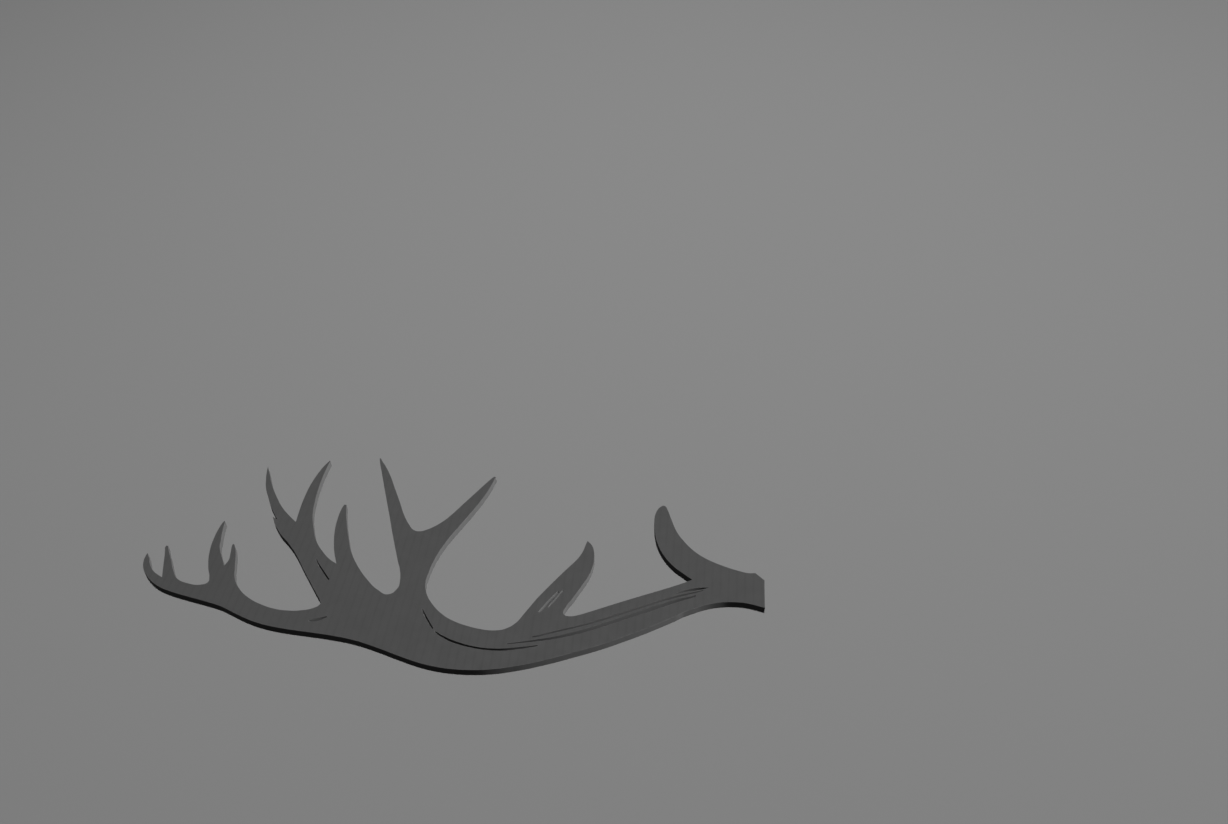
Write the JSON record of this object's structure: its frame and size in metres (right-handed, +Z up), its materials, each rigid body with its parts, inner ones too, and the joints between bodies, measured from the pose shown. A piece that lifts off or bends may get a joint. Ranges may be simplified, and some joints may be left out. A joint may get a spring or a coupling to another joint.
{
  "type": "flat antler cut-out",
  "caption": "Flat sheet cut in the outline of a stag's antler, with brow, bez, trez and crown tines and narrow slits along the beam, for signs, plaques and model making.",
  "frame": {"origin": "middle of the cut-out's box, on its underside", "axes": "+X along the antler towards its straight butt end, +Y across it towards the tips of the tines, +Z up through the sheet's thickness"},
  "size_m": [0.2278, 0.1022, 0.003],
  "materials": {
    "sheet": "matt dark grey with clean upright cut edges"
  },
  "bodies": {
    "root": {"main_beam": "sheet", "upper_beam": "sheet", "brow_tine": "sheet", "bez_tine": "sheet", "trez_stem": "sheet", "trez_rear_tine": "sheet", "trez_front_tine": "sheet", "crown_stem": "sheet", "crown_inner_tine": "sheet", "crown_middle_tine": "sheet", "crown_outer_tine": "sheet", "beam_short_tine": "sheet", "beam_long_tine": "sheet", "beam_end_tine": "sheet"}
  },
  "joints": []
}
